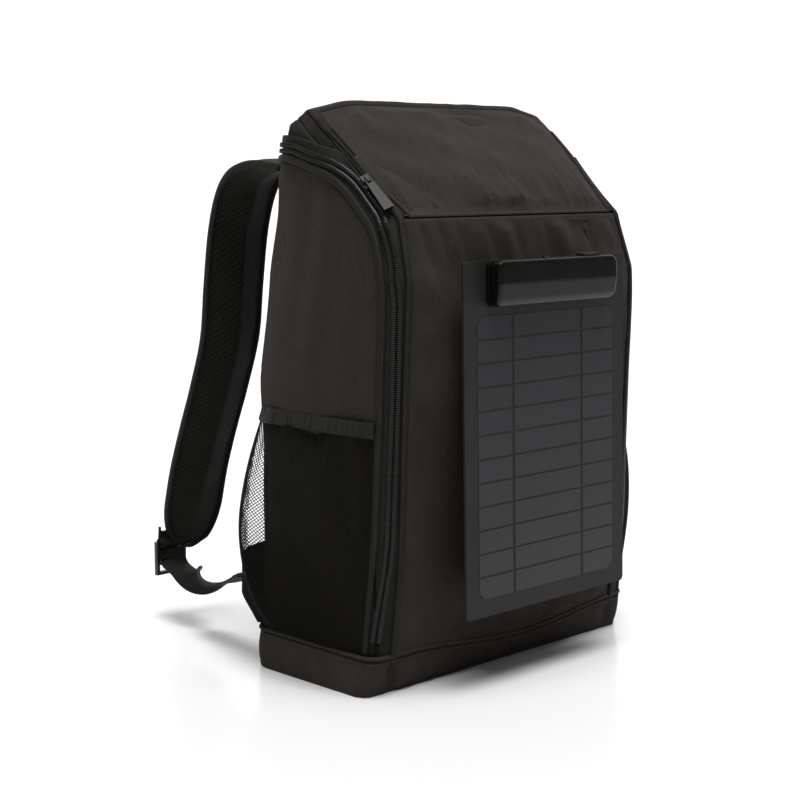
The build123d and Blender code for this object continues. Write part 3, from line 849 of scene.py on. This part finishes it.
def make_fabric():
    """Every sewn piece that has a thickness: panels, pads, tapes, bands and bindings."""
    tapes = ["main_zip_front_tape", "main_zip_body_tape"]
    hood_tapes = ["hood_zip_flap_tape", "hood_zip_gusset_tape"]
    for side in ("left", "right"):
        soft_panel(
            f"{side}_side_panel", [tapes[1], "base_band", "back_panel"], cap=6 * mm,
            shape=side_shape,
        )
        soft_panel(
            f"{side}_hood_gusset", [tapes[0], hood_tapes[1], "hood_rear_panel", "front_panel"],
            reach=8 * mm, shape=gusset_shape, voxel=1.6 * mm,
        )
        soft_panel(
            f"{side}_back_pad", ["back_panel"], reach=6 * mm, shape=pad_shape, look="air_mesh",
        )
        soft_panel(f"{side}_lower_anchor", [], shape=strip_shape, voxel=1.0 * mm, look="webbing")
        soft_panel(f"{side}_buckle_loop", [], shape=strip_shape, voxel=0.8 * mm, look="webbing")
    soft_panel("back_panel", ["left_side_panel", "right_side_panel", "base_band", tapes[1]],
               shape=slack_shape, voxel=2.4 * mm)
    soft_panel(
        "front_panel", [tapes[0], "base_band", "hood_flap"], cap=6 * mm, shape=front_shape,
        reach=14 * mm,
        blend=("pack_body", "front", (0, -84 * mm, 30 * mm), (0, -90 * mm, 60 * mm)),
    )
    soft_panel(
        "hood_flap", [hood_tapes[0], "front_panel", "hood_rear_panel"], cap=7 * mm,
        shape=hood_shape, reach=12 * mm,
        blend=("front", "hood", tuple(hood_seam), (0, -86 * mm, 371.6 * mm)),
    )
    soft_panel("hood_rear_panel", [tapes[0], hood_tapes[1]], reach=8 * mm, shape=slack_shape,
               voxel=1.6 * mm)
    soft_panel("base_band", ["left_side_panel", "right_side_panel", "back_panel", "front_panel",
                             "base_panel"], reach=6 * mm, shape=base_shape, voxel=1.8 * mm)
    soft_panel("lumbar_pad", ["back_panel"], reach=6 * mm, shape=slack_shape, look="air_mesh")
    soft_panel("panel_mount_pad", ["front_panel"], reach=8 * mm, shape=slack_shape,
               voxel=3 * mm)
    soft_panel("strap_yoke", [], shape=strip_shape, voxel=1.6 * mm)
    soft_panel("grab_handle", [], shape=strip_shape, voxel=1.3 * mm, look="webbing")
    for node in tapes:
        soft_panel(node, [], shape=tape_shape, voxel=1.5 * mm, look="zip_tape")
    for node in hood_tapes:
        soft_panel(node, [], shape=tape_shape, voxel=1.5 * mm, look="hood_tape")
    rows = remeshed("hood_zip_rows", "hood_zip_coil", 0.7 * mm)
    set_points(rows.data, lean(settle(points_of(rows.data))))
    finish_piece(rows, "zip_teeth", bodies_of["hood_zip_coil"], stands_for=["hood_zip_coil"])
    for node, look in (
        ("top_pocket_lining", "lining_fabric"), ("laptop_sleeve", "lining_fabric"),
        ("sleeve_binding", "binding"), ("base_panel", "lining_fabric"),
    ):
        thin_piece(node, look)


# ---------------------------------------------------------------- lines on the skin
def roof_line(x, low, high, step=3 * mm):
    """Line over the hood's slope at this distance from the middle, between two places along
    the bag's depth, with its outward directions."""
    points = []
    for y in np.arange(low, high, step):
        hit = skin_tree.ray_cast(Vector((x, y, 0.7)), Vector((0, 0, -1)), 0.7)[0]
        if hit is not None:
            points.append(hit)
    points, normals = skin_line(points, step)
    return lean(settle(points)), normals


def girdle(height, start, stop, step=3 * mm):
    """Line round the bag at this height, from one angle to another in degrees: 0 is the left
    side, 90 the front."""
    points = []
    for turn in np.radians(np.arange(start, stop, 0.6)):
        way = Vector((-math.cos(turn), -math.sin(turn), 0))
        base = Vector((0, -10 * mm, height))
        hit = skin_tree.ray_cast(base + way * 0.4, -way, 0.4)[0]
        if hit is not None:
            points.append(hit)
    return skin_line(points, step)


def stitches(name, points, normals, body):
    """Row of separate stitches that lie on the cloth."""
    count = len(resample(points, stitch_pitch))
    small = rounded_block(stitch_length, 0.8 * mm, 0.5 * mm, 0.15 * mm)
    thing = repeated(name, even_count(points, count), unit(even_count(normals, count)), *small)
    finish_piece(thing, "thread", body)


def piping(name, points, normals, body, width, height, look, slot="zip_tape"):
    """Round folded edge that runs along a seam."""
    finish_piece(swept(name, points, normals, oval(width, height)), look, body)


def make_seams():
    """Folded edges and stitch rows on the seams in view."""
    points, normals = girdle(base_seam_z, -88, 268)
    points = sag(points)
    piping("base_seam_fold", points + [0, 0, 1.4 * mm], normals, "pack_body", 3.4 * mm, 2.8 * mm,
           "bag_fabric", "bag_fabric")
    stitches("base_seam_stitches", points - [0, 0, 3.2 * mm], normals, "pack_body")
    sweep = np.arange(-126, 127, 3) * mm
    seam = []
    for x in sweep:
        aim = skin_tree.find_nearest(Vector((x, hood_seam.y, hood_seam.z)))[0]
        seam.append(aim)
    points, normals = skin_line(seam, 3 * mm)
    points = lean(points)
    rise = np.array([0, math.cos(hood_slope), math.sin(hood_slope)])
    stitches("hood_seam_stitches", points + rise * 3.5 * mm, normals, "hood")
    stitches("front_seam_stitches", points - [0, 0, 4 * mm], normals, "front")
    for side, sign in (("left", -1), ("right", 1)):
        edge = roof_line(sign * 124 * mm, -93 * mm, -12 * mm)
        piping(f"{side}_hood_edge", *edge, "hood", 2.6 * mm, 2.8 * mm, "bag_fabric",
               "bag_fabric")
        ridge = roof_line(sign * 128.5 * mm, -91 * mm, -14 * mm)
        piping(f"{side}_hood_binding", *ridge, "hood", 1.6 * mm, 1.6 * mm, "binding")
        for number, (x, body) in enumerate(((134.2, "hood"), (137.2, "front")), 1):
            lip = roof_line(sign * x * mm, -86 * mm, -20 * mm)
            piping(f"{side}_hood_zip_lip_{number}", *lip, body, 2.2 * mm, 2.2 * mm, "hood_tape")


# ---------------------------------------------------------------- zips
def tape_runs(node, other, low, high):
    """Smooth stretches of a zip tape's outline that keep this far from the other tape."""
    tree = tree_of([other])
    found = []
    for loop in outer_edges(node):
        for run in split_at_corners(loop):
            gaps = [tree.find_nearest(p)[3] for p in run]
            if len(run) > 4 and path_length(run) > 100 * mm and low < min(gaps) < high:
                found.append(run)
    return found


def side_sign(run, other):
    """Which way along a run's side direction the other run lies: 1 or -1."""
    points, normals = skin_line(run, 10 * mm)
    _, sides, _ = frames_on(points, normals)
    middle = len(points) // 3
    here = Vector(points[middle])
    goal = min((Vector(p) for p in resample(other, 3 * mm)), key=lambda p: (p - here).length)
    return 1 if (goal - here).dot(Vector(sides[middle])) > 0 else -1


def raised_edge(name, run, body, width, height, shift):
    """Bound edge: a soft raised band that runs beside an edge of the tape."""
    points, normals = skin_line(run, 3 * mm, 8)
    _, sides, _ = frames_on(points, normals)
    points = lean(points + sides * shift + normals * (height * 0.1))
    thing = swept(name, points, normals, oval(width, height, 12))
    finish_piece(thing, "binding", body)


def make_main_zip():
    """Both tapes' teeth and the bound edges that frame the band."""
    tooth = rounded_block(0.8 * mm, 3.2 * mm, 1.9 * mm, 0.3 * mm)
    tapes = ("main_zip_front_tape", "main_zip_body_tape")
    middle = max(tape_runs(*tapes, 0, 1 * mm), key=path_length)
    points, normals = skin_line(middle, 1.7 * mm, 12)
    points = lean(points)
    core = swept("main_zip_core", points, normals, [
        (4 * mm, -1.6 * mm), (4 * mm, -0.8 * mm), (-4 * mm, -0.8 * mm), (-4 * mm, -1.6 * mm),
    ])
    finish_piece(core, "zip_tape", "pack_body")
    for node, other, body, row in (
        (*tapes, "front", "front"), (*reversed(tapes), "pack_body", "body"),
    ):
        edges = tape_runs(node, other, 3 * mm, 20 * mm)
        toward = side_sign(middle, edges[0])
        teeth = repeated(
            f"main_zip_{row}_teeth", points, normals, *tooth,
            shift=(toward * 2.3 * mm, -0.3 * mm),
        )
        finish_piece(teeth, "zip_teeth", body, stands_for=[f"main_zip_{row}_coil"])
        width = 5.5 * mm if row == "front" else 6 * mm
        for number, edge in enumerate(edges, 1):
            inward = side_sign(edge, middle)
            raised_edge(f"main_zip_{row}_binding_{number}", edge, body, width, 4 * mm,
                        inward * 2 * mm)


# ---------------------------------------------------------------- side pockets
def side_wall(sign, depth, height):
    """Place on the outside of the bag's side at this depth and height."""
    beside = Vector((sign * 0.4, depth, height))
    hit = skin_tree.ray_cast(beside, Vector((-sign, 0, 0)), 0.4)[0]
    return hit or skin_tree.find_nearest(Vector((sign * 148 * mm, depth, height)))[0]


def pocket_rows(side):
    """Even grid of points over the outside of a side pocket, from its foot to its top edge and
    from its front edge round to its rear edge. It hugs the bag at its foot and at its elastic
    top, and balloons between them, most of all at its rear."""
    sign = -1 if side == "left" else 1
    pocket_tree = tree_of([f"{side}_mesh_pocket", f"{side}_pocket_binding"])
    low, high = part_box(f"{side}_mesh_pocket")[0].z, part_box(f"{side}_pocket_binding")[1].z
    rows = []
    for height in np.linspace(low + 0.4 * mm, high - 0.4 * mm, 64):
        up = (height - low) / (high - low)
        belly = math.sin(math.pi * min(1, up * 1.02) ** 0.85) ** 0.8
        ring = []
        for turn in np.radians(np.linspace(-86, 88, 88)):
            centre = Vector((sign * 141 * mm, -8 * mm, height))
            way = Vector((sign * math.cos(turn), math.sin(turn), 0))
            hit = pocket_tree.ray_cast(centre + way * 0.4, -way, 0.4)[0]
            if hit is not None:
                ring.append(hit)
        skin = side_wall(sign, -83 * mm, height)
        ring = np.array([tuple(p) for p in [skin] + ring])
        wall = np.array([side_wall(sign, min(y, 55 * mm), height).x for y in ring[:, 1]])
        away = (ring[:, 0] - wall) * (0.15 + 1.0 * belly)
        rear = smoothstep(ring[:, 1], 5 * mm, 60 * mm)
        front = smoothstep(-ring[:, 1], 10 * mm, 55 * mm) * (0 if side == "left" else 1)
        swollen = 2 * mm * rear + 20 * mm * front * smoothstep(ring[:, 1], -84 * mm, -74 * mm)
        ring[:, 0] = wall + away + sign * (1.0 * mm + belly * swollen)
        ring[:, 1] += (2 * mm * belly - 20 * mm * (1 - belly)) * rear
        rows.append(even_count(ring, 60))
    return np.array(rows)


def sample_grid(rows, up, along):
    """Points on a grid of rows at fractional places, from 0 to 1 each way."""
    r = np.clip(up, 0, 1) * (rows.shape[0] - 1)
    c = np.clip(along, 0, 1) * (rows.shape[1] - 1)
    r0 = np.minimum(r.astype(int), rows.shape[0] - 2)
    c0 = np.minimum(c.astype(int), rows.shape[1] - 2)
    fr = (r - r0)[:, None]
    fc = (c - c0)[:, None]
    low = rows[r0, c0] * (1 - fc) + rows[r0, c0 + 1] * fc
    high = rows[r0 + 1, c0] * (1 - fc) + rows[r0 + 1, c0 + 1] * fc
    return low * (1 - fr) + high * fr


def make_pocket(side):
    """Diamond netting, with gathers towards its top, below where the elastic band goes."""
    rows = pocket_rows(side)
    for _ in range(6):
        rows[1:-1, 1:-1] = (
            rows[1:-1, 1:-1] * 0.4 + (rows[:-2, 1:-1] + rows[2:, 1:-1]) * 0.15
            + (rows[1:-1, :-2] + rows[1:-1, 2:]) * 0.15
        )
    height = rows[-1, 0, 2] - rows[0, 0, 2]
    length = float(distances(rows[20])[-1])
    net_share = 1 - 9 * mm / height
    across, up = int(length / (3.9 * mm)) * 2, int(height * net_share / (2.9 * mm)) * 2
    places = {}
    ups, alongs = [], []
    for j in range(up + 1):
        for i in range(across + 1):
            if (i + j) % 2 == 0:
                places[i, j] = len(ups)
                ups.append(j / up * net_share)
                alongs.append(i / across)
    points = sample_grid(rows, np.array(ups), np.array(alongs))
    sign = -1 if side == "left" else 1
    sway = ripple(points, 70 * mm, 61, (0, 1, 0.6)) * 1.6 * mm
    near_top = smoothstep(np.array(ups), 0.45, net_share)
    gathers = ripple(points, 26 * mm, 62, (0, 1.6, 0.12)) * 2.2 * mm * near_top
    edge = np.sin(np.array(alongs) * math.pi) ** 0.5
    points[:, 0] += sign * (sway * (1 - near_top) + gathers) * edge
    faces = []
    for j in range(1, up):
        for i in range(1, across):
            if (i + j) % 2:
                faces.append((places[i - 1, j], places[i, j - 1], places[i + 1, j],
                              places[i, j + 1]))
    net = mesh_object(f"{side}_pocket_netting", points, faces)
    wires = net.modifiers.new("wires", "WIREFRAME")
    wires.thickness = 1.0 * mm
    wires.use_even_offset = False
    bake_modifiers(net)
    area = sum(p.area for p in net.data.polygons) / 2
    finish_piece(net, "pocket_net", "pack_body", stands_for=[f"{side}_mesh_pocket"])
    return net, area, length, height * net_share, rows


def make_pocket_band(side, rows):
    """Elastic band: two plies with small upright gathers between its stitch lines."""
    sign = -1 if side == "left" else 1
    across, up = 240, 10
    low = 1 - 10.5 * mm / (rows[-1, 0, 2] - rows[0, 0, 2])
    ups, alongs = np.meshgrid(np.linspace(low, 1, up + 1), np.linspace(0, 1, across + 1),
                              indexing="ij")
    points = sample_grid(rows, ups.ravel(), alongs.ravel())
    share = (ups.ravel() - low) / (1 - low)
    gathers = ripple(points, 7 * mm, 63, (0, 1.7, 0.1)) * 0.3 * mm
    rise = 0.9 * mm * np.sin(share * math.pi) ** 0.4 + gathers * np.sin(share * math.pi)
    points[:, 0] += sign * rise
    band = mesh_object(f"{side}_pocket_elastic", points, grid_faces(across, up))
    ply = band.modifiers.new("ply", "SOLIDIFY")
    ply.thickness = 2 * mm
    ply.offset = -1
    bake_modifiers(band)
    finish_piece(band, "binding", "pack_body",
                 stands_for=[f"{side}_pocket_binding"])


# ---------------------------------------------------------------- straps
strap_line = [
    (58, 400), (84, 403), (104, 401), (122, 393), (135, 376), (145, 345), (152, 300),
    (158, 255), (174, 210), (190, 172), (204, 135), (213, 102), (218, 79), (220, 64),
]
strap_middle = 91 * mm
strap_half = 31 * mm
webbing_half = 12.5 * mm
strap_foot = (-112, 221)
anchor_foot = (-146, 66)
webbing_line = [(2, 64), (4, 56), (8, 51), (16, 48), (44, 45), (70, 46), (100, 51), (130, 60),
                (148, 68), (158, 71)]


def curve_through(points, step):
    """Smooth evenly spaced line through the points."""
    points = np.array(points, dtype=float)
    ends = [2 * points[0] - points[1], *points, 2 * points[-1] - points[-2]]
    fine = []
    for a, b, c, d in zip(ends, ends[1:], ends[2:], ends[3:]):
        for t in np.linspace(0, 1, 12, endpoint=False):
            fine.append(0.5 * (2 * b + (c - a) * t + (2 * a - 5 * b + 4 * c - d) * t ** 2
                               + (3 * b - a - 3 * c + d) * t ** 3))
    fine.append(points[-1])
    return resample(fine, step)


def make_strap(side):
    """Shoulder strap: spacer mesh with a lengthwise ridge towards the wearer, a cloth back and
    bound edges."""
    sign = -1 if side == "left" else 1
    route = [(sign * strap_middle, y * mm, z * mm) for y, z in strap_line]
    points = curve_through(route, 4 * mm)
    tangents = unit(np.gradient(points, axis=0))
    normals = unit(np.cross(tangents, np.array([[1.0, 0, 0]])))
    normals *= np.sign(np.sum(normals * np.array([0, -1, -0.35]), axis=1, keepdims=True))
    total = path_length([Vector(p) for p in points])
    body = f"{side}_strap"

    def narrowing(along):
        """Rounded lower end and a slight waist at the root."""
        left = max(total - along, 0)
        round_end = math.sqrt(max(0.0, 1 - (1 - min(left / (42 * mm), 1)) ** 2))
        return (0.3 + 0.7 * round_end) * (0.93 + 0.07 * min(along / (60 * mm), 1))

    def pad_profile(along):
        half = strap_half * narrowing(along) - 1.5 * mm
        ridge = 10 * mm * min(1, along / (90 * mm)) * min(1, (total - along) / (70 * mm))
        shape = []
        for k in range(17):
            u = 1 - k / 8
            bulge = 1.5 * mm * (1 - abs(u) ** 4)
            bulge += ridge * (1 - abs(u))
            shape.append((u * half, max(bulge, 0.2 * mm)))
        shape += [(-half, -1.0 * mm), (half, -1.0 * mm)]
        return shape

    def cover_profile(along):
        half = strap_half * narrowing(along) - 1.0 * mm
        shape = [(half, -0.8 * mm)]
        for k in range(9):
            u = 1 - k / 4
            shape.append((u * half, -0.9 * mm - 3.4 * mm * (1 - abs(u) ** 4)))
        shape.append((-half, -0.8 * mm))
        return shape

    pad = swept(f"{side}_strap_mesh", points, normals, pad_profile)
    pad_points = points_of(pad.data)
    pad_points += normals_of(pad.data) * (ripple(pad_points, 42 * mm, 71) * 0.6 * mm)[:, None]
    set_points(pad.data, pad_points)
    finish_piece(pad, "air_mesh", body, stands_for=[f"{side}_strap_pad"])
    cover = swept(f"{side}_strap_cover", points, normals, cover_profile)
    finish_piece(cover, "bag_fabric", body)
    half = np.array([strap_half * narrowing(s) - 1.0 * mm for s in distances(points)])[:, None]
    _, sides, outs = frames_on(points, normals)
    edge = np.concatenate([points + sides * half, (points - sides * half)[::-1]])
    outs = np.concatenate([outs, outs[::-1]])
    corner = len(points)
    bend = np.linspace(0, 1, 9)[1:-1, None]
    turn = edge[corner - 1] * (1 - bend) + edge[corner] * bend
    turn += unit(tangents[-1:]) * (2.5 * mm * np.sin(bend * math.pi))
    edge = np.concatenate([edge[:corner], turn, edge[corner:]])
    outs = np.concatenate([outs[:corner], np.repeat(outs[corner - 1:corner], 7, 0),
                           outs[corner:]])
    bound = swept(f"{side}_strap_binding", edge, outs, oval(3.2 * mm, 6.5 * mm, 10))
    finish_piece(bound, "binding", body)
    return points, normals, total


def make_wing(side):
    """Sewn triangle of doubled fabric at the bag's rear corner that takes the webbing's pull."""
    sign = -1 if side == "left" else 1
    across, up = 10, 16
    points = []
    for j in range(up + 1):
        share = j / up
        height = (32 + 68 * share) * mm
        reach = (9 + 12 * min(share / 0.36, 1)) * mm * min((1 - share) / 0.1, 1)
        for i in range(across + 1):
            out = reach * i / across
            points.append((sign * (138 * mm + out * 0.75), (55 * mm + out * 0.66), height))
    points = np.array(points)
    points[:, 1] += ripple(points, 24 * mm, 66) * 0.8 * mm
    wing = mesh_object(f"{side}_anchor_wing", points, grid_faces(across, up))
    ply = wing.modifiers.new("ply", "SOLIDIFY")
    ply.thickness = 2 * mm
    ply.offset = 0
    bake_modifiers(wing)
    finish_piece(wing, "binding", "pack_body")


def make_strap_webbing(side):
    """Adjusting webbing from the buckle to the bag's lower corner, with half a twist in it."""
    sign = -1 if side == "left" else 1
    start = np.array([sign * -strap_foot[0], strap_foot[1]])
    end = np.array([sign * -anchor_foot[0], anchor_foot[1]])
    way = (end - start) / np.linalg.norm(end - start)
    route = [(*((start + way * d) * mm), z * mm) for d, z in webbing_line]
    points = curve_through(route, 2.5 * mm)
    tangents = unit(np.gradient(points, axis=0))
    across = np.array([[-way[1], way[0], 0.0]])
    normals = unit(np.cross(tangents, np.repeat(across, len(points), 0)))
    share = np.linspace(0, 1, len(points))
    turn = smoothstep(share, 0.18, 0.62) * math.pi
    sides = np.cross(tangents, normals)
    normals = normals * np.cos(turn)[:, None] + sides * np.sin(turn)[:, None]
    h, t = webbing_half, 0.9 * mm
    shape = [(h, -t * 0.5), (h, t * 0.5), (h - 1 * mm, t), (0, t), (1 * mm - h, t),
             (-h, t * 0.5), (-h, -t * 0.5), (1 * mm - h, -t), (0, -t), (h - 1 * mm, -t)]
    band = swept(f"{side}_adjusting_webbing", points, normals, shape)
    finish_piece(band, "webbing", f"{side}_strap", stands_for=[f"{side}_strap_webbing"])


# ---------------------------------------------------------------- rigid pieces
def crisp(node, width):
    """Rounds the sharp edges of a CAD node, so that they catch the light."""
    thing = nodes[node]
    weld = thing.modifiers.new("weld", "WELD")
    weld.merge_threshold = 0.005 * mm
    bevel = thing.modifiers.new("bevel", "BEVEL")
    bevel.width = width
    bevel.segments = 2
    bevel.limit_method = "ANGLE"
    bevel.angle_limit = math.radians(35)
    bevel.use_clamp_overlap = True


def rounded(node):
    """Moulded shell with soft edges and a front that curves evenly."""
    thing = nodes[node]
    even = thing.modifiers.new("even", "REMESH")
    even.mode = "VOXEL"
    even.voxel_size = 0.8 * mm
    even.use_smooth_shade = True
    soft = thing.modifiers.new("soft", "SMOOTH")
    soft.factor = 0.5
    soft.iterations = 22


def dress_cad_nodes():
    """Materials of the CAD nodes that stay in view."""
    for name, thing in nodes.items():
        look = looks[slots_of[name]]
        if not thing.data.materials:
            thing.data.materials.append(look)
        for index in range(len(thing.data.materials)):
            thing.data.materials[index] = look


# ---------------------------------------------------------------- stage
def make_stage():
    """Plain pale floor, soft overhead light and a white backdrop behind the bag."""
    floor = mesh_object("floor", [(-9, -9, 0), (9, -9, 0), (9, 9, 0), (-9, 9, 0)], [(0, 1, 2, 3)])
    paint = Paint("floor", 0.2, specular=0.3)
    paint.colour((0.7, 0.7, 0.7))
    floor.data.materials.append(paint.material)
    world = bpy.data.worlds.new("surround")
    world.use_nodes = True
    tree = world.node_tree
    tree.nodes["Background"].inputs["Color"].default_value = (1, 1, 1, 1)
    direction = tree.nodes.new("ShaderNodeTexCoord")
    ahead = tree.nodes.new("ShaderNodeVectorMath")
    ahead.operation = "DOT_PRODUCT"
    ahead.inputs[1].default_value = (0.70, 0.71, 0.1)
    shade = tree.nodes.new("ShaderNodeMapRange")
    for key, number in (("From Min", 0.3), ("From Max", 0.8), ("To Min", 0.16), ("To Max", 1.15)):
        shade.inputs[key].default_value = number
    tree.links.new(direction.outputs["Generated"], ahead.inputs[0])
    tree.links.new(ahead.outputs["Value"], shade.inputs["Value"])
    tree.links.new(shade.outputs[0], tree.nodes["Background"].inputs["Strength"])
    scene.world = world
    for name, kind, place, aim, size, power in (
        ("overhead", "SUN", (-0.15, -0.35, 2), (0, 0, 0), 0.6, 4.4),
        ("key", "AREA", (-2.6, -1.6, 1.3), (0, 0, 0.25), 0.8, 2.2),
        ("rim", "AREA", (-2.2, 0.9, 0.9), (0, 0, 0.25), 0.8, 0.6),
    ):
        lamp = bpy.data.lights.new(name, kind)
        if kind == "SUN":
            lamp.angle = size
        else:
            lamp.size = size
        lamp.energy = power
        thing = bpy.data.objects.new(name, lamp)
        thing.location = place
        way = Vector(aim) - Vector(place)
        thing.rotation_euler = way.to_track_quat("-Z", "Y").to_euler()
        scene.collection.objects.link(thing)


def make_camera():
    lens = bpy.data.cameras.new("camera")
    lens.lens = 75.33
    lens.sensor_width = 36
    thing = bpy.data.objects.new("camera", lens)
    thing.location = (-0.9959, -0.9684, 0.3998)
    thing.rotation_euler = (math.radians(90 - 7.9), 0, math.radians(-44.6))
    scene.collection.objects.link(thing)
    scene.camera = thing
    scene.view_settings.view_transform = "Standard"


make_camera()
make_stage()
dress_cad_nodes()
make_fabric()
make_main_zip()
make_seams()
for side in ("left", "right"):
    net, area, length, height, rows = make_pocket(side)
    make_pocket_band(side, rows)
    make_strap(side)
    make_strap_webbing(side)
    make_wing(side)
    crisp(f"{side}_buckle", 0.5 * mm)
for node in ("box_back_shell", "usb_cover", "panel_laminate"):
    crisp(node, 0.5 * mm)
rounded("box_front_cover")
